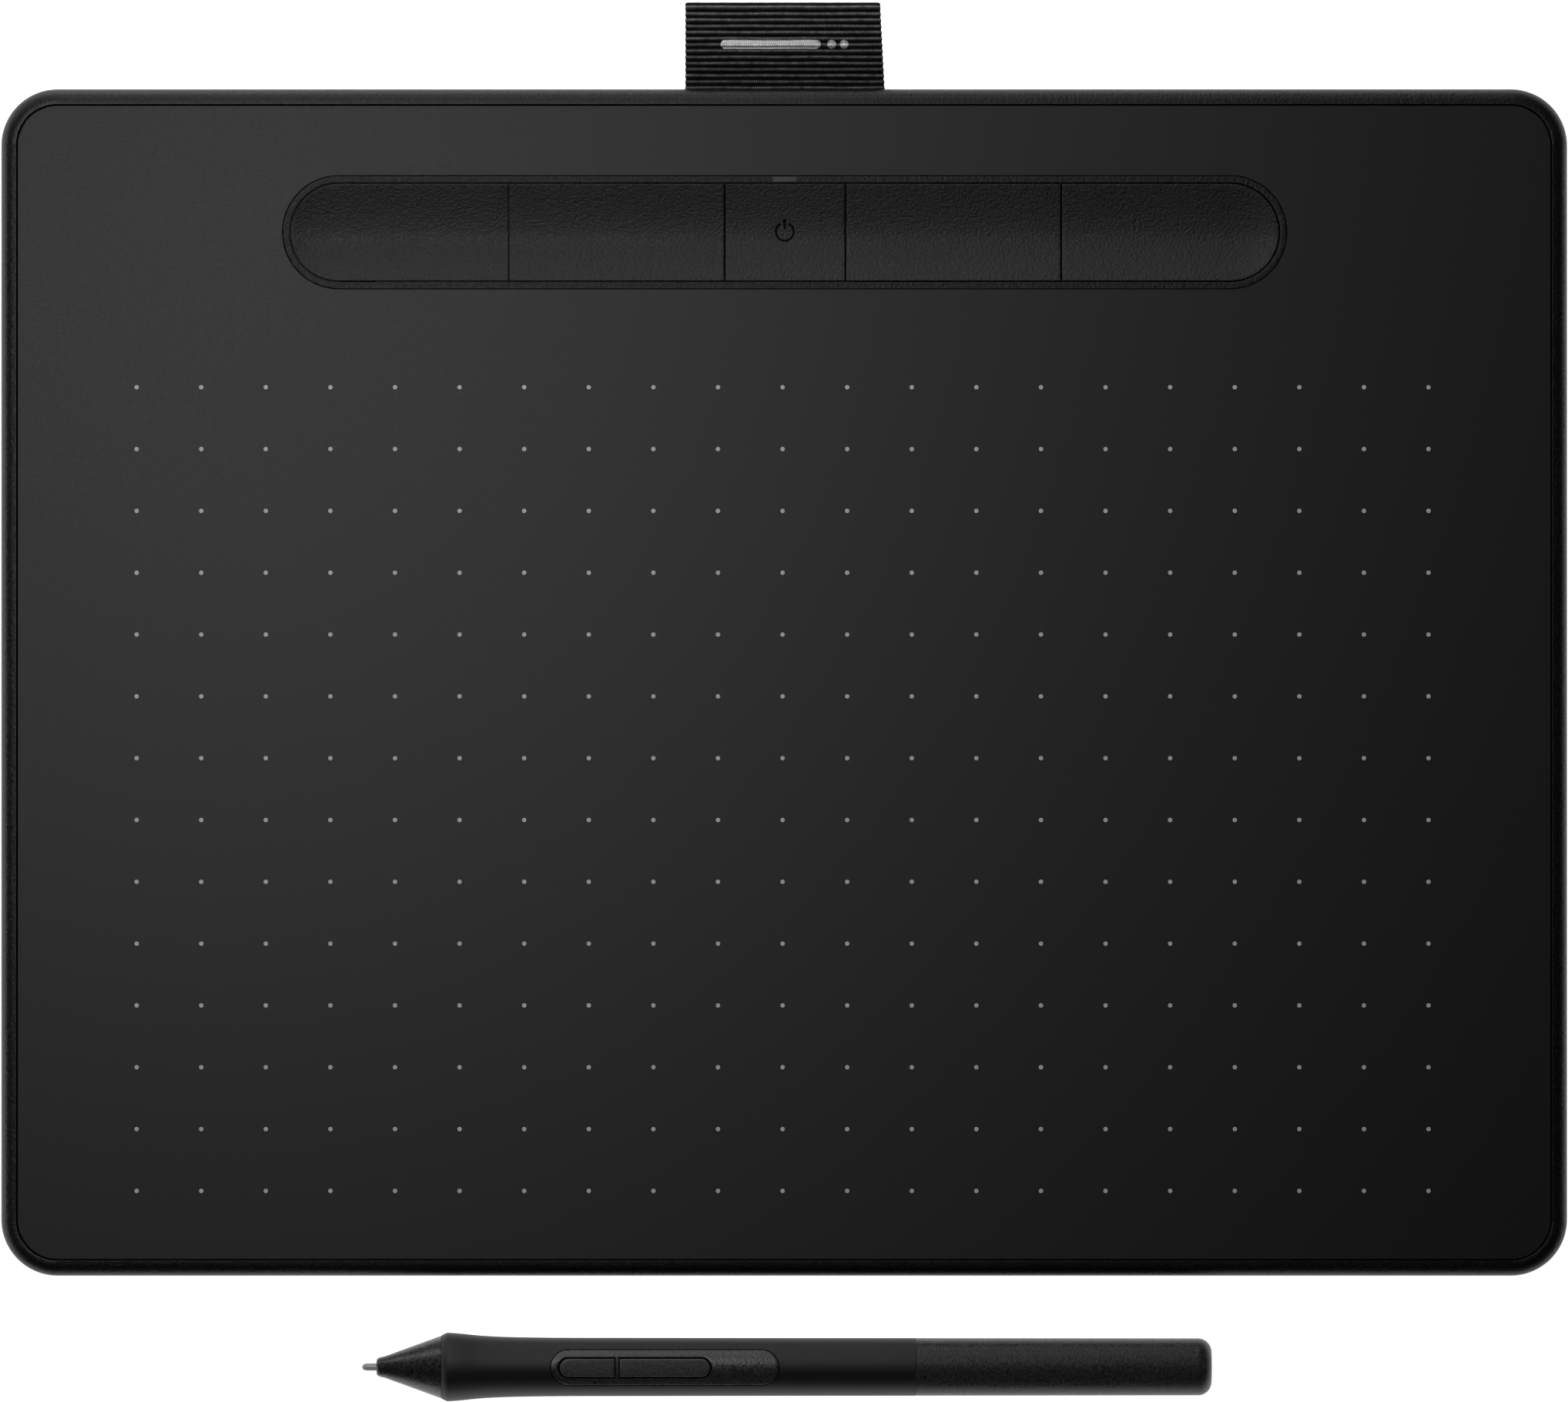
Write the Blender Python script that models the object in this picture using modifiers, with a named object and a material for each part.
"""Pen drawing tablet with its cordless pen, modelled piece by piece at real size.

Frame: +X along the tablet's long edge (to the user's right), +Y away from the user
towards the fabric pen loop, +Z up. The origin is the centre of the footprint that the
tablet, its pen loop and the pen lying in front of it take up, on the desk.
All dimensions below are in millimetres and are turned into metres by MM.
"""

import math

import bmesh
import bpy
from mathutils import Matrix, Vector

MM = 0.001

# ---------------------------------------------------------------- driving sizes, mm
TABLET_W, TABLET_D, TABLET_H = 264.0, 200.0, 8.8
CORNER_R = 9.5
RIM_W = 2.6            # width of the textured rim seen from above
PANEL_GAP = 0.25       # shadow gap between rim and drawing panel
PANEL_R = 7.0
LOOP_W, LOOP_REACH = 33.4, 14.7
PEN_FROM_EDGE = 15.4   # pen axis in front of the tablet's front edge
PEN_FLARE_R = 5.8
PEN_LEN = 143.3

# The footprint runs from the pen's front to the loop's end; the tablet's centre
# therefore sits a little behind the origin.
FOOTPRINT_D = LOOP_REACH + TABLET_D + PEN_FROM_EDGE + PEN_FLARE_R
CY = FOOTPRINT_D / 2 - LOOP_REACH - TABLET_D / 2

# heights of the tablet's layers
FOOT_T = 1.2
BASE_Z0, BASE_FLOOR, BASE_Z1 = 0.8, 2.0, 3.2
RIM_Z0, RIM_Z1 = 3.4, TABLET_H
LEDGE_Z0, LEDGE_Z1 = 6.3, 7.35
PANEL_Z0 = 7.6
SENSOR_Z0, SENSOR_Z1 = 6.5, 7.3
SHIELD_Z0, SHIELD_Z1 = 5.9, 6.2
BOARD_Z0, BOARD_Z1 = 2.9, 3.9

# key bar, in tablet coordinates (origin at the tablet's centre)
KEY_Y = 76.0
RING_OUT = (169.5, 19.0)
RING_IN = (167.4, 16.9)
KEYS_SIZE = (166.9, 16.4)
KEY_SPLITS = (10.2, 46.55)
KEY_SLIT = 0.26
KEY_TOP, KEY_BOTTOM = 8.75, 5.6
DISH_DEPTH = 1.6
KEY_TRAVEL = 0.4

SENSOR_Y = -18.0       # centre of the active area
SCREWS = [(-121.0, 88.0), (121.0, 88.0), (-121.0, -88.0), (121.0, -88.0), (-121.5, 0.0), (121.5, 0.0)]
FEET = SCREWS[:4]
USB_Y = 74.0

LOOP_Z = 5.05          # middle of the folded ribbon
LOOP_T = 0.9           # one layer of ribbon
LOOP_AXIS_Y = TABLET_D / 2 + 0.4
CLAMP_Y = 92.0

# pen, measured along its own axis from the nib's tip
PEN_TIP_X = -71.2
CONE_FRONT, CONE_REAR = 2.43, 13.3
BARREL_FRONT, BARREL_REAR = 13.45, 93.35
CAP_FRONT = 93.5
FLARE_X, TAIL_X = 14.5, 140.6
TAIL_R = 4.82
PEN_BORE = 3.95
BEZEL_X, BEZEL_Y = (31.7, 70.4), 3.1
PILL_X, PILL_Y = (33.05, 59.0), 1.8
RIB_X = (42.6, 43.35)

SEG_PEN = 24


# ---------------------------------------------------------------- scene and helpers
def clear_scene():
    for obj in list(bpy.data.objects):
        bpy.data.objects.remove(obj, do_unlink=True)


clear_scene()
PARTS = bpy.data.collections.new("pen_drawing_tablet")
CUTTERS = bpy.data.collections.new("cutters")
bpy.context.scene.collection.children.link(PARTS)
bpy.context.scene.collection.children.link(CUTTERS)


def material(name, rgb, rough, metal=0.0):
    mat = bpy.data.materials.new(name)
    mat.use_nodes = True
    bsdf = mat.node_tree.nodes["Principled BSDF"]
    bsdf.inputs["Base Color"].default_value = (*rgb, 1.0)
    bsdf.inputs["Roughness"].default_value = rough
    bsdf.inputs["Metallic"].default_value = metal
    return mat


CASE = material("case_black", (0.012, 0.012, 0.013), 0.55)
SHEET = material("sheet_black", (0.010, 0.010, 0.010), 0.45)
KEYS = material("key_black", (0.013, 0.013, 0.014), 0.60)
CLEAR = material("light_guide", (0.10, 0.10, 0.11), 0.35)
RUBBER = material("rubber", (0.02, 0.02, 0.02), 0.85)
FABRIC = material("ribbon", (0.008, 0.008, 0.009), 0.90)
BOARD = material("circuit_board", (0.01, 0.09, 0.04), 0.45)
SHIELD = material("shield", (0.55, 0.56, 0.58), 0.35, 1.0)
STEEL = material("steel", (0.35, 0.35, 0.36), 0.35, 1.0)
CELL = material("battery_foil", (0.62, 0.63, 0.65), 0.40, 0.6)
CHIP = material("chip", (0.02, 0.02, 0.02), 0.50)
COPPER = material("copper", (0.72, 0.33, 0.16), 0.35, 1.0)
FERRITE = material("ferrite", (0.05, 0.05, 0.055), 0.55)
LEAD = material("lead", (0.30, 0.02, 0.02), 0.50)
IVORY = material("ivory_plastic", (0.75, 0.72, 0.65), 0.50)
FLEX = material("flex_film", (0.65, 0.35, 0.08), 0.40)
NIB = material("nib_grey", (0.16, 0.16, 0.16), 0.35)
SOFT = material("pen_soft_black", (0.008, 0.008, 0.009), 0.45)
GRAIN = material("pen_grained_black", (0.014, 0.014, 0.015), 0.60)


def place(obj, mat=None, parent=None, cutter=False):
    (CUTTERS if cutter else PARTS).objects.link(obj)
    if mat:
        obj.data.materials.append(mat)
    if parent:
        obj.parent = parent
    if cutter:
        obj.hide_render = True
        obj.display_type = "WIRE"
    return obj


def mesh_object(name, bm, loc=(0, 0, 0), mat=None, parent=None, cutter=False):
    mesh = bpy.data.meshes.new(name)
    bm.to_mesh(mesh)
    bm.free()
    obj = bpy.data.objects.new(name, mesh)
    obj.location = Vector(loc) * MM
    return place(obj, mat, parent, cutter)


def rounded_rect(w, d, r, seg=8, cx=0.0, cy=0.0):
    """Outline of a rectangle with round corners, anticlockwise."""
    points = []
    for k, (sx, sy) in enumerate([(1, 1), (-1, 1), (-1, -1), (1, -1)]):
        for i in range(seg + 1):
            a = math.radians(90 * k + 90 * i / seg)
            points.append((cx + sx * (w / 2 - r) + r * math.cos(a), cy + sy * (d / 2 - r) + r * math.sin(a)))
    return points


def stadium(x0, x1, half, seg=12, round_left=True, round_right=True, cy=0.0):
    """Outline with semicircular or square ends, anticlockwise."""
    points = []
    if round_right:
        for i in range(seg + 1):
            a = math.radians(-90 + 180 * i / seg)
            points.append((x1 - half + half * math.cos(a), cy + half * math.sin(a)))
    else:
        points += [(x1, cy - half), (x1, cy + half)]
    if round_left:
        for i in range(seg + 1):
            a = math.radians(90 + 180 * i / seg)
            points.append((x0 + half + half * math.cos(a), cy + half * math.sin(a)))
    else:
        points += [(x0, cy + half), (x0, cy - half)]
    return points


def plate_mesh(outlines, z0, z1):
    """A flat 2D curve, filled and extruded, turned into a welded mesh. The first outline is the edge, others are holes."""
    curve = bpy.data.curves.new("outline", "CURVE")
    curve.dimensions = "2D"
    curve.fill_mode = "BOTH"
    curve.extrude = (z1 - z0) / 2 * MM
    for outline in outlines:
        spline = curve.splines.new("POLY")
        spline.points.add(len(outline) - 1)
        for p, (x, y) in zip(spline.points, outline):
            p.co = (x * MM, y * MM, 0, 1)
        spline.use_cyclic_u = True
    obj = bpy.data.objects.new("outline", curve)
    bpy.context.scene.collection.objects.link(obj)
    bpy.context.view_layer.update()
    mesh = bpy.data.meshes.new_from_object(obj.evaluated_get(bpy.context.evaluated_depsgraph_get()))
    bpy.data.objects.remove(obj, do_unlink=True)
    bpy.data.curves.remove(curve)
    bm = bmesh.new()
    bm.from_mesh(mesh)
    bpy.data.meshes.remove(mesh)
    bmesh.ops.remove_doubles(bm, verts=bm.verts, dist=1e-6)
    bmesh.ops.translate(bm, verts=bm.verts, vec=(0, 0, (z0 + z1) / 2 * MM))
    bmesh.ops.recalc_face_normals(bm, faces=bm.faces)
    return bm


def plate(name, outlines, z0, z1, loc=(0, 0, 0), mat=None, parent=None, cutter=False, steps_top=(), steps_bottom=()):
    """An extruded outline. Each step insets the end face and moves it outwards, which gives chamfers and roundings."""
    bm = plate_mesh(outlines, z0, z1)
    if steps_top or steps_bottom:
        bmesh.ops.dissolve_limit(bm, angle_limit=math.radians(1), verts=bm.verts, edges=bm.edges)
    for steps, sign in ((steps_top, 1), (steps_bottom, -1)):
        for thickness, depth in steps:
            bm.faces.ensure_lookup_table()
            face = max((f for f in bm.faces if f.normal.z * sign > 0.99), key=lambda f: f.calc_center_median().z * sign)
            bmesh.ops.inset_region(bm, faces=[face], thickness=thickness * MM, depth=depth * MM, use_even_offset=True)
            bm.normal_update()
    return mesh_object(name, bm, loc, mat, parent, cutter)


def box(name, x, y, z, mat=None, parent=None, cutter=False):
    """A cuboid given by its lowest and highest x, y and z; its origin is its centre."""
    bm = bmesh.new()
    bmesh.ops.create_cube(bm, size=1.0)
    size = Vector((x[1] - x[0], y[1] - y[0], z[1] - z[0])) * MM
    bmesh.ops.scale(bm, vec=size, verts=bm.verts)
    return mesh_object(name, bm, ((x[0] + x[1]) / 2, (y[0] + y[1]) / 2, (z[0] + z[1]) / 2), mat, parent, cutter)


def cylinder(name, r, centre, z0, z1, seg=16, mat=None, parent=None, cutter=False, r_top=None):
    bm = bmesh.new()
    bmesh.ops.create_cone(
        bm, cap_ends=True, segments=seg, radius1=r * MM, radius2=(r if r_top is None else r_top) * MM, depth=(z1 - z0) * MM
    )
    return mesh_object(name, bm, (centre[0], centre[1], (z0 + z1) / 2), mat, parent, cutter)


def boolean(obj, other, operation="DIFFERENCE"):
    mod = obj.modifiers.new(f"{operation.lower()}_{other.name}", "BOOLEAN")
    mod.operation = operation
    mod.solver = "EXACT"
    mod.object = other
    return obj


def turned(name, profile, mat=None, parent=None, cutter=False, seg=SEG_PEN, closed=True, loc=(0, 0, 0), lie=True):
    """A lathe shape: profile is (height, radius) down the outer side, and back up the inner side if it is hollow."""
    mesh = bpy.data.meshes.new(name)
    count = len(profile)
    edges = [(i, i + 1) for i in range(count - 1)] + ([(count - 1, 0)] if closed else [])
    mesh.from_pydata([(r * MM, 0, h * MM) for h, r in profile], edges, [])
    obj = bpy.data.objects.new(name, mesh)
    screw = obj.modifiers.new("turn", "SCREW")
    screw.axis = "Z"
    screw.angle = 2 * math.pi
    screw.steps = screw.render_steps = seg
    screw.use_merge_vertices = True
    screw.merge_threshold = 0.00001
    screw.use_smooth_shade = True
    obj.location = Vector(loc) * MM
    if lie:
        obj.rotation_euler = (0, math.radians(90), 0)
    return place(obj, mat, parent, cutter)


def empty(name, loc, rot=(0, 0, 0), parent=None):
    obj = bpy.data.objects.new(name, None)
    obj.location = Vector(loc) * MM
    obj.rotation_euler = rot
    PARTS.objects.link(obj)
    obj.parent = parent
    return obj


TABLET = empty("tablet_centre", (0, CY, 0))


# ---------------------------------------------------------------- tablet: outer case
def bottom_cover():
    w, d = TABLET_W - 1.0, TABLET_D - 1.0
    cover = plate(
        "bottom_cover", [rounded_rect(w, d, CORNER_R - 0.5, 12)], 2.7, BASE_Z1, mat=CASE, parent=TABLET,
        steps_bottom=[(1.3, 1.1), (2.7, BASE_Z0 * -1 + 2.7 - 1.1)],
    )
    # the tray inside: a floor 1.2 mm thick with a low wall
    tray = plate("cut_tray", [rounded_rect(w - 9.6, d - 9.6, 4.4, 4)], BASE_FLOOR, 5.0, parent=TABLET, cutter=True)
    boolean(cover, tray)
    # stiffening ribs that carry the shield plate and the sensor board
    for i, (x0, x1, y0, y1) in enumerate([
        (-16.0, -14.8, -86.0, 46.0), (60.0, 61.2, -86.0, 46.0), (-112.0, 112.0, -70.0, -68.8),
        (-12.0, 112.0, 30.0, 31.2), (100.0, 101.2, -60.0, 20.0), (-111.0, -109.8, -60.0, 40.0),
    ]):
        boolean(cover, box(f"rib_{i}", (x0, x1), (y0, y1), (1.4, 5.6), parent=TABLET, cutter=True), "UNION")
    # standoffs under the main board, clear of the key switches
    for i, x in enumerate((-84.0, -46.5, 46.5, 84.0)):
        boolean(cover, cylinder(f"standoff_{i}", 2.0, (x, KEY_Y), 1.4, 2.65, 8, parent=TABLET, cutter=True), "UNION")
    for i, (x, y) in enumerate(SCREWS):
        under_foot = i < 4
        boolean(cover, cylinder(f"cover_boss_{i}", 3.3, (x, y), 1.2, BASE_Z1 - 0.1, 10, parent=TABLET, cutter=True), "UNION")
        if under_foot:
            boolean(cover, cylinder(f"cut_foot_{i}", 6.35, (x, y), 0.2, 1.35, 16, parent=TABLET, cutter=True))
        boolean(cover, cylinder(f"cut_head_{i}", 2.3, (x, y), 0.1, 2.45 if under_foot else 2.1, 10, parent=TABLET, cutter=True))
        boolean(cover, cylinder(f"cut_shank_{i}", 1.3, (x, y), 0.0, 5.0, 8, parent=TABLET, cutter=True))
    return cover


def rim_frame():
    # below its widest line the wall leans in to the parting line; above it the edge rolls over onto the rim
    rim = plate(
        "rim_frame", [rounded_rect(TABLET_W, TABLET_D, CORNER_R, 12)], 4.6, 6.4, mat=CASE, parent=TABLET,
        steps_top=[(0.18, 0.92), (0.52, 0.77), (0.70, 0.49), (0.95, 0.22)],
        steps_bottom=[(0.35, 1.2)],
    )
    w, d = TABLET_W, TABLET_D
    # seat for the drawing panel, the opening through the frame, and the hollow behind the outer wall
    seat = 2 * RIM_W
    boolean(rim, plate("cut_seat", [rounded_rect(w - seat, d - seat, PANEL_R + PANEL_GAP, 6)], LEDGE_Z1, 10.0, parent=TABLET, cutter=True))
    boolean(rim, plate("cut_open", [rounded_rect(w - 11.2, d - 11.2, 4.5, 4)], 2.0, 10.5, parent=TABLET, cutter=True))
    boolean(rim, plate("cut_wall", [rounded_rect(w - 4.4, d - 4.4, 7.3, 5)], 2.5, LEDGE_Z0, parent=TABLET, cutter=True))
    for i, (x, y) in enumerate(SCREWS):
        side = math.copysign(1, x)
        arm = box(f"boss_arm_{i}", tuple(sorted((x, side * 130.6))), (y - 1.5, y + 1.5), (3.5, 7.2), parent=TABLET, cutter=True)
        boolean(rim, arm, "UNION")
        boolean(rim, cylinder(f"rim_boss_{i}", 3.1, (x, y), 3.45, 7.3, 10, parent=TABLET, cutter=True), "UNION")
        boolean(rim, cylinder(f"cut_thread_{i}", 1.1, (x, y), 2.0, 6.7, 8, parent=TABLET, cutter=True))
    # a bridge over the ribbon's inner end, with two pads that its clamp screws into
    boolean(rim, box("clamp_bridge", (-21.6, 21.6), (90.2, 95.2), (6.35, 7.2), parent=TABLET, cutter=True), "UNION")
    for i, sx in enumerate((-1, 1)):
        pad = box(f"clamp_pad_{i}", tuple(sorted((sx * 17.4, sx * 21.5))), (90.3, 98.4), (4.0, 6.6), parent=TABLET, cutter=True)
        boolean(rim, pad, "UNION")
        boolean(rim, cylinder(f"cut_clamp_{i}", 0.85, (sx * 19.5, CLAMP_Y), 3.0, 6.0, 10, parent=TABLET, cutter=True))
    boolean(rim, box("cut_ribbon_slot", (-17.2, 17.2), (89.0, 104.0), (LOOP_Z - 1.2, LOOP_Z + 1.2), parent=TABLET, cutter=True))
    boolean(rim, plate("cut_usb", [rounded_rect(8.4, 3.2, 0.9, 3)], 0, 12.0, loc=(-134.0, USB_Y, 5.2), parent=TABLET, cutter=True))
    usb = bpy.data.objects["cut_usb"]
    usb.rotation_euler = (math.radians(90), 0, math.radians(90))
    return rim


def drawing_panel():
    w, d = TABLET_W - 2 * (RIM_W + PANEL_GAP), TABLET_D - 2 * (RIM_W + PANEL_GAP)
    hole = stadium(-RING_OUT[0] / 2 - 0.15, RING_OUT[0] / 2 + 0.15, RING_OUT[1] / 2 + 0.15, 16, cy=KEY_Y)
    return plate("drawing_panel", [rounded_rect(w, d, PANEL_R, 10), hole], PANEL_Z0, TABLET_H, mat=SHEET, parent=TABLET)


# ---------------------------------------------------------------- tablet: key bar
def key_surround():
    key_bar = (0, KEY_Y, 0)
    inner = stadium(-RING_IN[0] / 2, RING_IN[0] / 2, RING_IN[1] / 2, 16)
    ring = plate("key_surround", [stadium(-RING_OUT[0] / 2, RING_OUT[0] / 2, RING_OUT[1] / 2, 16), inner], 6.45, 8.72, loc=key_bar, mat=KEYS, parent=TABLET)
    flange = plate("surround_flange", [stadium(-87.7, 87.7, 12.4, 16)], 6.4, 7.35, loc=key_bar, parent=TABLET, cutter=True)
    boolean(ring, flange, "UNION")
    boolean(ring, plate("cut_keys", [inner], 5.0, 10.0, loc=key_bar, parent=TABLET, cutter=True))
    boolean(ring, box("cut_light", (-2.1, 2.1), (KEY_Y + 8.2, KEY_Y + 9.55), (5.0, 10.0), parent=TABLET, cutter=True))
    return ring


def dish():
    """The trough over all five keys: a long capsule, its middle band being a sphere's equator pulled apart."""
    half = KEYS_SIZE[1] / 2
    radius = (half**2 + DISH_DEPTH**2) / (2 * DISH_DEPTH)
    reach = KEYS_SIZE[0] / 2 - half
    bm = bmesh.new()
    bmesh.ops.create_uvsphere(bm, u_segments=72, v_segments=35, radius=radius * MM)
    bmesh.ops.rotate(bm, verts=bm.verts, cent=(0, 0, 0), matrix=Matrix.Rotation(math.radians(90), 3, "Y"))
    for v in bm.verts:
        v.co.x += math.copysign(reach * MM, v.co.x)
    return mesh_object("cut_dish", bm, (0, KEY_Y, KEY_TOP - DISH_DEPTH + radius), parent=TABLET, cutter=True)


def key(name, x0, x1, cutter_dish, round_left=False, round_right=False):
    half = KEYS_SIZE[1] / 2
    cx = (x0 + x1) / 2
    at = (cx, KEY_Y, 0)
    lip = 0.7
    body = plate(name, [stadium(x0 - cx, x1 - cx, half, 12, round_left, round_right)], KEY_BOTTOM + 0.2, KEY_TOP, loc=at, mat=KEYS, parent=TABLET)
    # a lip under the surround keeps the key in; a peg reaches down to its switch
    lip_x0 = x0 - cx - (lip if round_left else 0)
    lip_x1 = x1 - cx + (lip if round_right else 0)
    lower = plate(f"{name}_lip", [stadium(lip_x0, lip_x1, half + lip, 12, round_left, round_right)], KEY_BOTTOM, KEY_BOTTOM + 0.5, loc=at, parent=TABLET, cutter=True)
    boolean(body, lower, "UNION")
    boolean(body, cylinder(f"{name}_peg", 1.5, (cx, KEY_Y), 5.3, KEY_BOTTOM + 0.3, 8, parent=TABLET, cutter=True), "UNION")
    boolean(body, cutter_dish)
    return body


def key_row():
    trough = dish()
    end, (inner, outer), slit = KEYS_SIZE[0] / 2, KEY_SPLITS, KEY_SLIT / 2
    key("shortcut_key_1", -end, -outer - slit, trough, round_left=True)
    key("shortcut_key_2", -outer + slit, -inner - slit, trough)
    power = key("power_key", -inner + slit, inner - slit, trough)
    # the light guide passes behind it, so the retaining lip is notched there
    boolean(power, box("cut_lip_notch", (-2.4, 2.4), (KEY_Y + 8.21, KEY_Y + 9.5), (5.0, 6.3), parent=TABLET, cutter=True))
    key("shortcut_key_3", inner + slit, outer - slit, trough)
    key("shortcut_key_4", outer + slit, end, trough, round_right=True)
    return power


def key_centres():
    end, (inner, outer) = KEYS_SIZE[0] / 2, KEY_SPLITS
    return [-(end + outer) / 2, -(outer + inner) / 2, 0.0, (outer + inner) / 2, (end + outer) / 2]


def light_guide():
    guide = box("status_light_guide", (-1.95, 1.95), (KEY_Y + 8.5, KEY_Y + 9.4), (5.0, 8.70), mat=CLEAR, parent=TABLET)
    foot = box("guide_foot", (-1.2, 1.2), (KEY_Y + 8.6, KEY_Y + 9.3), (4.75, 5.2), parent=TABLET, cutter=True)
    return boolean(guide, foot, "UNION")


# ---------------------------------------------------------------- tablet: electronics
def main_board():
    outline = [(92, 65), (92, 87.2), (-100, 87.2), (-100, 82.5), (-126.3, 82.5), (-126.3, 66), (-100, 66), (-100, 65)]
    board = plate("main_board", [outline], BOARD_Z0, BOARD_Z1, mat=BOARD, parent=TABLET)
    for i, x in enumerate(key_centres()):
        switch = box(f"tact_switch_{i + 1}", (x - 2.25, x + 2.25), (KEY_Y - 2.25, KEY_Y + 2.25), (BOARD_Z1 + 0.1, BOARD_Z1 + 0.6), mat=STEEL, parent=TABLET)
        boolean(switch, cylinder(f"actuator_{i}", 1.0, (x, KEY_Y), BOARD_Z1 + 0.4, 4.85, 8, parent=TABLET, cutter=True), "UNION")
    box("status_led", (-0.8, 0.8), (KEY_Y + 8.5, KEY_Y + 9.3), (BOARD_Z1 + 0.1, BOARD_Z1 + 0.65), mat=IVORY, parent=TABLET)
    box("controller_chip", (-100.0, -93.0), (70.0, 77.0), (BOARD_Z1 + 0.1, BOARD_Z1 + 0.95), mat=CHIP, parent=TABLET)
    return board


def usb_socket():
    socket = box("usb_socket", (-131.0, -125.8), (USB_Y - 3.75, USB_Y + 3.75), (BOARD_Z1 + 0.1, 6.45), mat=STEEL, parent=TABLET)
    boolean(socket, box("cut_mouth", (-132.0, -126.3), (USB_Y - 3.4, USB_Y + 3.4), (BOARD_Z1 + 0.45, 6.1), parent=TABLET, cutter=True))
    boolean(socket, box("tongue", (-130.4, -126.1), (USB_Y - 1.9, USB_Y + 1.9), (5.0, 5.6), parent=TABLET, cutter=True), "UNION")
    return socket


def sensor_stack():
    plate("sensor_board", [rounded_rect(226, 146, 2, 2)], SENSOR_Z0, SENSOR_Z1, loc=(0, SENSOR_Y, 0), mat=BOARD, parent=TABLET)
    plate("shield_plate", [rounded_rect(226, 138, 2, 2)], SHIELD_Z0, SHIELD_Z1, loc=(0, SENSOR_Y - 4, 0), mat=SHIELD, parent=TABLET)
    # flat flexible cable from the sensor board's underside down to its connector on the main board
    middle = [(49.5, 6.25), (54.5, 6.2), (58.5, 5.75), (61.5, 5.0), (64.0, 4.6), (67.2, 4.5)]
    offsets = []
    for i, (y, z) in enumerate(middle):
        a, b = middle[max(0, i - 1)], middle[min(len(middle) - 1, i + 1)]
        t = Vector((b[0] - a[0], b[1] - a[1])).normalized()
        offsets.append((-t.y * 0.11, t.x * 0.11))
    upper = [(y + o[0], z + o[1]) for (y, z), o in zip(middle, offsets)]
    lower = [(y - o[0], z - o[1]) for (y, z), o in zip(middle, offsets)]
    ribbon = plate("sensor_ribbon", [lower + upper[::-1]], -7.0, 7.0, loc=(20, 0, 0), mat=FLEX, parent=TABLET)
    ribbon.rotation_euler = (math.radians(90), 0, math.radians(90))
    box("ribbon_connector", (12.0, 28.0), (67.5, 71.0), (BOARD_Z1 + 0.1, 5.0), mat=IVORY, parent=TABLET)


def battery():
    plate("battery", [rounded_rect(70, 46, 3, 4)], 2.3, 5.3, loc=(-64.0, -6.0, 0), mat=CELL, parent=TABLET, steps_top=[(0.5, 0.25)])
    # two-core lead, clipped along the floor to its plug on the main board
    curve = bpy.data.curves.new("battery_lead", "CURVE")
    curve.dimensions = "3D"
    curve.bevel_depth = 0.5 * MM
    curve.bevel_resolution = 2
    curve.use_fill_caps = True
    route = [(-58.0, 17.4, 3.4), (-58.0, 24.0, 3.4), (-60.5, 32.0, 3.2), (-67.0, 41.0, 3.2), (-71.5, 50.0, 3.1), (-72.0, 57.0, 3.5), (-72.0, 63.0, 4.5), (-72.0, 66.6, 4.5)]
    smooth = smooth_route(route, 18)
    spline = curve.splines.new("POLY")
    spline.points.add(len(smooth) - 1)
    for p, co in zip(spline.points, smooth):
        p.co = (*[c * MM for c in co], 1)
    obj = bpy.data.objects.new("battery_lead", curve)
    place(obj, LEAD, TABLET)
    box("battery_plug", (-75.0, -69.0), (66.9, 70.4), (BOARD_Z1 + 0.1, 4.95), mat=IVORY, parent=TABLET)


def smooth_route(points, count):
    """Evenly spaced points on a Catmull-Rom curve through the given ones."""
    pts = [Vector(p) for p in points]
    pts = [2 * pts[0] - pts[1]] + pts + [2 * pts[-1] - pts[-2]]
    dense = []
    for i in range(1, len(pts) - 2):
        p0, p1, p2, p3 = pts[i - 1], pts[i], pts[i + 1], pts[i + 2]
        for k in range(20):
            t = k / 20
            dense.append(0.5 * ((2 * p1) + (p2 - p0) * t + (2 * p0 - 5 * p1 + 4 * p2 - p3) * t**2 + (3 * p1 - p0 - 3 * p2 + p3) * t**3))
    dense.append(pts[-2])
    lengths = [0.0]
    for a, b in zip(dense, dense[1:]):
        lengths.append(lengths[-1] + (b - a).length)
    out, j = [], 0
    for i in range(count):
        want = lengths[-1] * i / (count - 1)
        while j < len(dense) - 2 and lengths[j + 1] < want:
            j += 1
        span = lengths[j + 1] - lengths[j]
        out.append(tuple(dense[j].lerp(dense[j + 1], (want - lengths[j]) / span if span else 0)))
    return out


# ---------------------------------------------------------------- tablet: feet, screws, ribbon
def feet_and_screws():
    for name, (x, y) in zip(("foot_rear_left", "foot_rear_right", "foot_front_left", "foot_front_right"), FEET):
        turned(name, [(FOOT_T, 0), (FOOT_T, 6.0), (0.35, 6.0), (0.0, 5.6), (0.0, 0)], RUBBER, TABLET, seg=16, closed=False, loc=(x, y, 0), lie=False)
    for i, (x, y) in enumerate(SCREWS):
        seat = 2.4 if i < 4 else 2.05
        screw_profile = [(6.1, 0), (6.1, 0.9), (seat, 0.9), (seat, 2.0), (seat - 0.6, 1.9), (seat - 0.95, 0)]
        turned(f"case_screw_{i + 1}", screw_profile, STEEL, TABLET, seg=10, closed=False, loc=(x, y, 0), lie=False)


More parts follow.
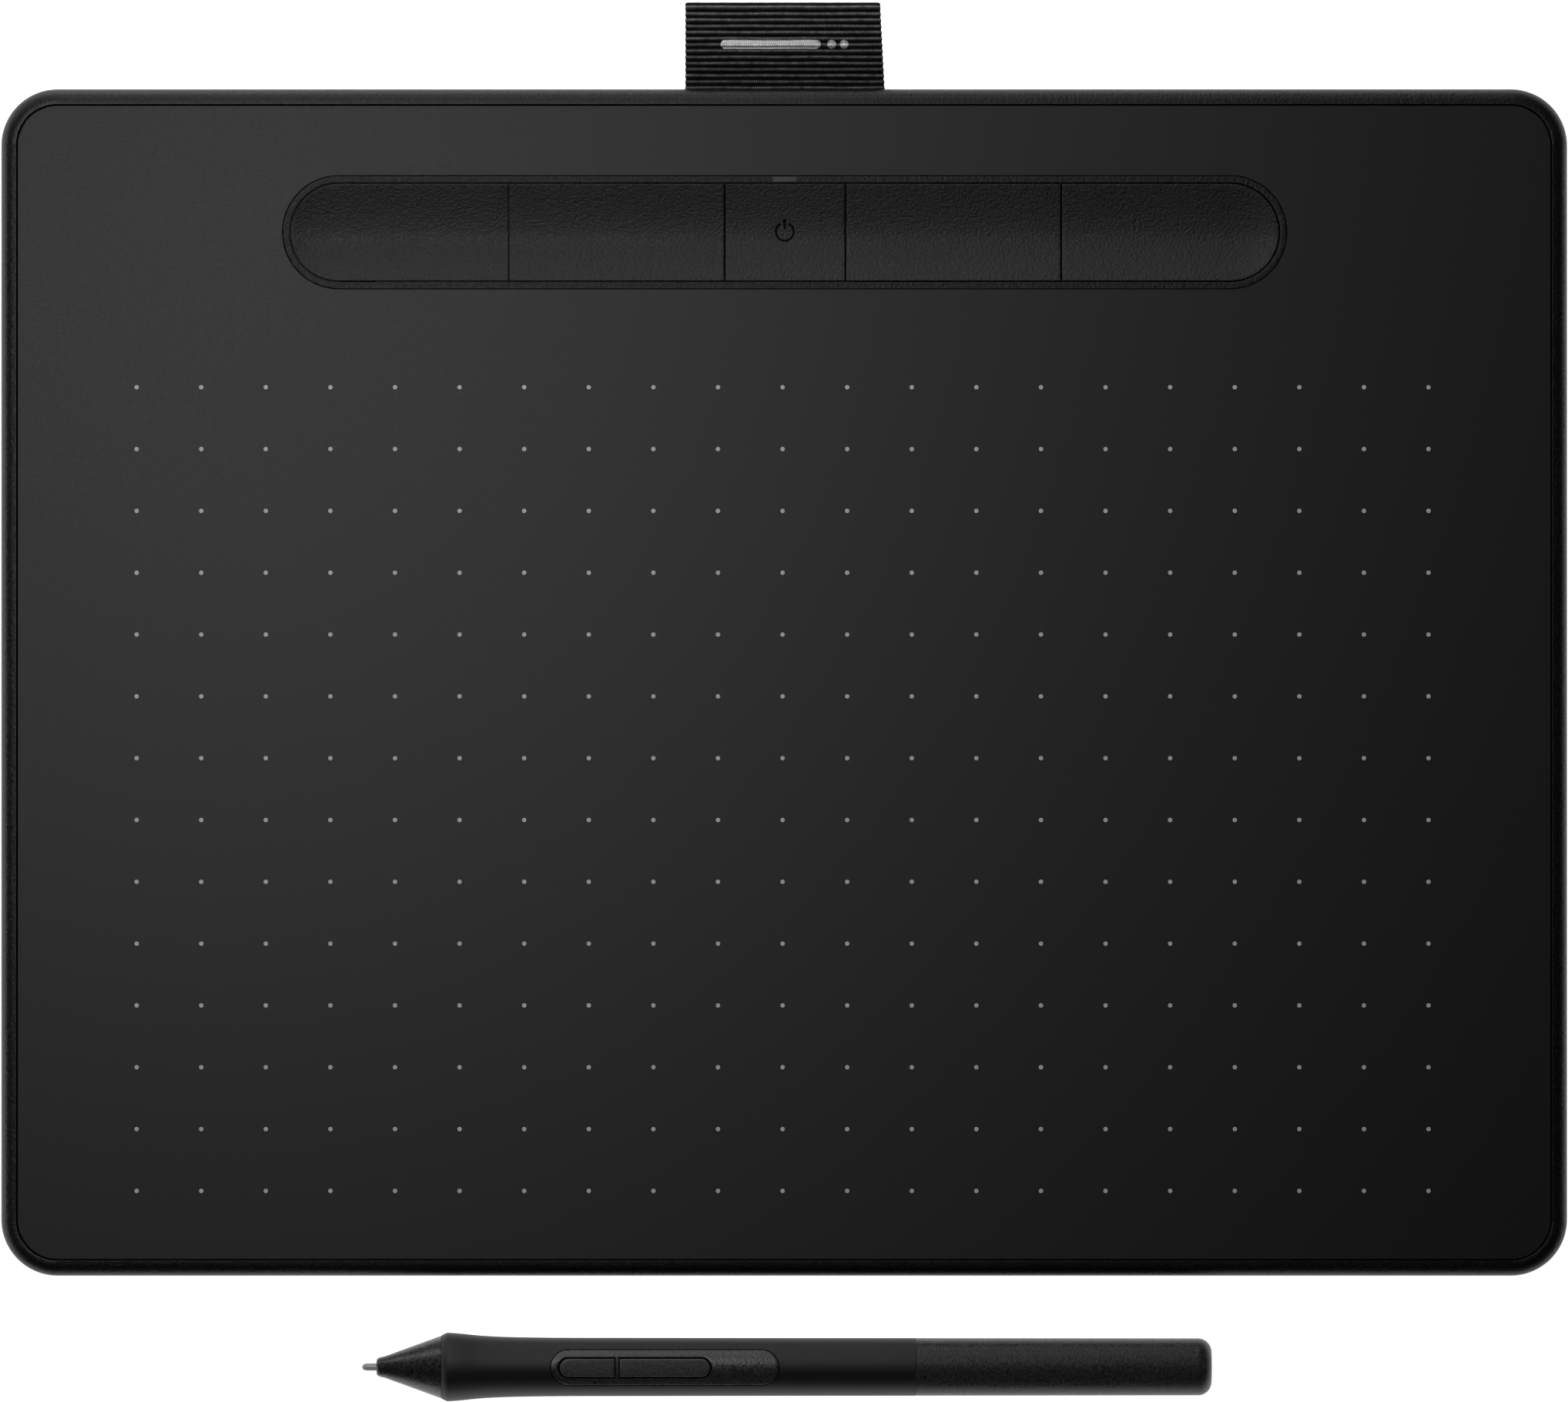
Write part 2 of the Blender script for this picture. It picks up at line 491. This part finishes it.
def ribbon_outline(y0, y1, closed_end):
    """Side view (y, z) of the folded ribbon: two layers that part a little towards the fold."""
    t, zc = LOOP_T, LOOP_Z
    gap0, gap1 = 0.1, 0.42
    if not closed_end:
        return [(y0, zc - gap0 - t), (y1, zc - gap0 - t), (y1, zc + gap0 + t), (y0, zc + gap0 + t)]
    r_in = gap1
    r_out = gap1 + t
    yc = y1 - r_out
    outer = [(y0, zc - gap0 - t), (y0 + 5.0, zc - 0.2 - t)]
    outer += [(yc + r_out * math.cos(a), zc + r_out * math.sin(a)) for a in [math.radians(-90 + 22.5 * i) for i in range(9)]]
    outer += [(y0 + 5.0, zc + 0.2 + t), (y0, zc + gap0 + t)]
    inner = [(y0, zc + gap0), (y0 + 5.0, zc + 0.2)]
    inner += [(yc + r_in * math.cos(a), zc + r_in * math.sin(a)) for a in [math.radians(90 - 45 * i) for i in range(5)]]
    inner += [(y0 + 5.0, zc - 0.2), (y0, zc - gap0)]
    return outer + inner


def pen_loop():
    turn = (math.radians(90), 0, math.radians(90))
    axis = LOOP_AXIS_Y
    moving = [(y - axis, z - LOOP_Z) for y, z in ribbon_outline(axis + 1.4, TABLET_D / 2 + LOOP_REACH, True)]
    loop = plate("pen_loop", [moving], -LOOP_W / 2, LOOP_W / 2, loc=(0, axis, LOOP_Z), mat=FABRIC, parent=TABLET)
    loop.rotation_euler = turn
    root = plate("pen_loop_root", [ribbon_outline(90.4, TABLET_D / 2 + 0.3, False)], -LOOP_W / 2, LOOP_W / 2, mat=FABRIC, parent=TABLET)
    root.rotation_euler = turn
    # bar that clamps the ribbon's two ends up against the frame's ledge
    clamp = box("loop_clamp", (-21.4, 21.4), (CLAMP_Y - 1.6, CLAMP_Y + 1.6), (2.75, 3.75), mat=CASE, parent=TABLET)
    for i, sx in enumerate((-1, 1)):
        boolean(clamp, cylinder(f"cut_clamp_hole_{i}", 1.0, (sx * 19.5, CLAMP_Y), 1.0, 5.0, 10, parent=TABLET, cutter=True))
        turned(f"clamp_screw_{i + 1}", [(5.6, 0), (5.6, 0.65), (2.65, 0.65), (2.65, 1.25), (2.1, 1.1), (2.1, 0)], STEEL, TABLET, seg=10, closed=False, loc=(sx * 19.5, CLAMP_Y, 0), lie=False)


# ---------------------------------------------------------------- pen
def pen_frame():
    """The pen lies on its flare and its tail, so its axis dips towards the tail."""
    dip = math.asin((PEN_FLARE_R - TAIL_R) / (TAIL_X - FLARE_X))
    height = PEN_FLARE_R * math.cos(dip) + FLARE_X * math.sin(dip)
    y = -TABLET_D / 2 - PEN_FROM_EDGE + CY
    return empty("pen_axis", (PEN_TIP_X, y, height), (0, dip, 0))


PEN = pen_frame()

BARREL_OUTER = [
    (BARREL_REAR, 4.87), (68.8, 4.89), (45.0, 4.92), (32.4, 4.95), (28.5, 5.0), (24.6, 5.08), (22.0, 5.19),
    (19.4, 5.36), (16.85, 5.63), (15.3, 5.76), (FLARE_X, PEN_FLARE_R), (14.1, 5.72), (BARREL_FRONT, 5.36),
]


def barrel_outer_between(x0, x1):
    """The barrel's outline from x1 down to x0, for a piece that sits flush in it."""
    def radius(x):
        for (xa, ra), (xb, rb) in zip(BARREL_OUTER, BARREL_OUTER[1:]):
            if xb <= x <= xa:
                return rb + (ra - rb) * (x - xb) / (xa - xb)
        return BARREL_OUTER[0][1]

    inside = [p for p in BARREL_OUTER if x0 < p[0] < x1]
    return [(x1, radius(x1)), *inside, (x0, radius(x0))]


def pen_shell():
    barrel = turned("pen_barrel", BARREL_OUTER + [(BARREL_FRONT, 4.1), (19.2, 4.1), (19.2, PEN_BORE), (BARREL_REAR, PEN_BORE)], SOFT, PEN)
    boolean(barrel, plate("cut_bezel", [stadium(BEZEL_X[0], BEZEL_X[1], BEZEL_Y, 12)], 1.5, 8.0, parent=PEN, cutter=True))
    bezel = turned("pen_switch_bezel", barrel_outer_between(30.0, 72.0) + [(30.0, 4.0), (72.0, 4.0)], GRAIN, PEN)
    boolean(bezel, plate("bezel_shape", [stadium(BEZEL_X[0] + 0.13, BEZEL_X[1] - 0.13, BEZEL_Y - 0.13, 12)], 1.6, 7.0, parent=PEN, cutter=True), "INTERSECT")
    boolean(bezel, plate("cut_pill_lower", [stadium(PILL_X[0], RIB_X[0], PILL_Y, 10, round_right=False)], 1.0, 8.0, parent=PEN, cutter=True))
    boolean(bezel, plate("cut_pill_upper", [stadium(RIB_X[1], PILL_X[1], PILL_Y, 10, round_left=False)], 1.0, 8.0, parent=PEN, cutter=True))
    cone = [
        (18.6, 3.85), (CONE_REAR, 3.85), (CONE_REAR, 5.33), (3.86, 1.84), (3.2, 1.68), (2.75, 1.5), (CONE_FRONT, 1.15),
        (CONE_FRONT, 0.95), (6.2, 0.95), (6.5, 1.6), (11.0, 3.35), (18.6, 3.35),
    ]
    turned("pen_cone", cone, GRAIN, PEN)
    cap = [(PEN_LEN, 0), (PEN_LEN, 2.5), (PEN_LEN - 0.3, 3.5), (PEN_LEN - 1.0, 4.2), (PEN_LEN - 1.8, 4.6), (TAIL_X, TAIL_R), (CAP_FRONT, 4.87), (CAP_FRONT, 3.85), (141.8, 3.85), (141.8, 0)]
    turned("pen_rear_cap", cap, GRAIN, PEN, closed=False)


def pen_buttons():
    g = 0.28
    for name, x0, x1, left, right in (
        ("pen_button_lower", PILL_X[0] + g, RIB_X[0] - 0.15, True, False),
        ("pen_button_upper", RIB_X[1] + 0.15, PILL_X[1] - g, False, True),
    ):
        cx = (x0 + x1) / 2
        half = PILL_Y - g
        body = plate(name, [stadium(x0 - cx, x1 - cx, half, 10, left, right)], 2.8, 5.05, loc=(cx, 0, 0), mat=GRAIN, parent=PEN, steps_top=[(0.12, 0.16), (0.22, 0.09)])
        lip = plate(f"{name}_lip", [stadium(x0 - cx - (0.5 if left else 0), x1 - cx + (0.5 if right else 0), half + 0.5, 8, left, right)], 2.5, 2.95, loc=(cx, 0, 0), parent=PEN, cutter=True)
        boolean(body, lip, "UNION")
        boolean(body, cylinder(f"{name}_peg", 0.8, (cx, 0), 1.95, 2.8, 10, parent=PEN, cutter=True), "UNION")
    for name, cx in (("pen_switch_lower", (PILL_X[0] + RIB_X[0]) / 2 + 0.06), ("pen_switch_upper", (PILL_X[1] + RIB_X[1]) / 2 - 0.06)):
        switch = box(name, (cx - 1.7, cx + 1.7), (-1.4, 1.4), (0.3, 1.25), mat=STEEL, parent=PEN)
        boolean(switch, cylinder(f"{name}_actuator", 0.6, (cx, 0), 1.0, 1.6, 10, parent=PEN, cutter=True), "UNION")


def nib_profile(tip, length=24.5):
    r = 0.65
    return [(tip + length, 0), (tip + length, r), (tip + 0.6, r), (tip + 0.25, 0.52), (tip + 0.05, 0.25), (tip, 0)]


def pen_core():
    turned("pen_nib", nib_profile(0), NIB, PEN, seg=16, closed=False)
    turned("pen_ferrite_core", [(22.0, 2.1), (8.6, 2.1), (8.6, 1.0), (22.0, 1.0)], FERRITE, PEN, seg=16)
    turned("pen_coil", [(21.0, 3.1), (12.5, 3.1), (12.5, 2.35), (21.0, 2.35)], COPPER, PEN, seg=24)
    turned("nib_clutch", [(27.5, 0), (27.5, 1.9), (22.9, 1.9), (22.9, 0.85), (24.7, 0.85), (24.7, 0)], IVORY, PEN, seg=16, closed=False)
    turned("pressure_sensor", [(32.3, 0), (32.3, 3.05), (28.15, 3.05), (28.15, 0)], CHIP, PEN, seg=16, closed=False)
    box("pen_board", (36.0, 85.5), (-2.6, 2.6), (-0.6, 0.2), mat=BOARD, parent=PEN)
    chassis = turned("pen_chassis", [(85.8, 3.7), (23.5, 3.7), (23.5, 3.3), (85.8, 3.3)], IVORY, PEN, seg=24)
    boolean(chassis, box("cut_chassis", (10.0, 95.0), (-6.0, 6.0), (-0.9, 6.0), parent=PEN, cutter=True))
    holder = turned("spare_nib_holder", [(136.0, 0), (136.0, 3.3), (135.6, 3.6), (93.9, 3.6), (93.3, 3.7), (86.2, 3.7), (86.2, 0)], IVORY, PEN, seg=24, closed=False)
    for i in range(3):
        a = math.radians(90 + 120 * i)
        at = (0, 1.9 * math.cos(a), 1.9 * math.sin(a))
        boolean(holder, turned(f"cut_nib_well_{i}", [(140.0, 0), (140.0, 0.9), (114.0, 0.9), (114.0, 0)], parent=PEN, cutter=True, seg=12, closed=False, loc=at))
        # stored point outwards: the same nib turned end for end
        stored = [(138.8, 0), (138.75, 0.25), (138.55, 0.52), (138.2, 0.65), (114.3, 0.65), (114.3, 0)]
        turned(f"spare_nib_{i + 1}", stored, NIB, PEN, seg=12, closed=False, loc=at)


bottom_cover()
rim_frame()
drawing_panel()
key_surround()
key_row()
light_guide()
main_board()
usb_socket()
sensor_stack()
battery()
feet_and_screws()
pen_loop()
pen_shell()
pen_buttons()
pen_core()
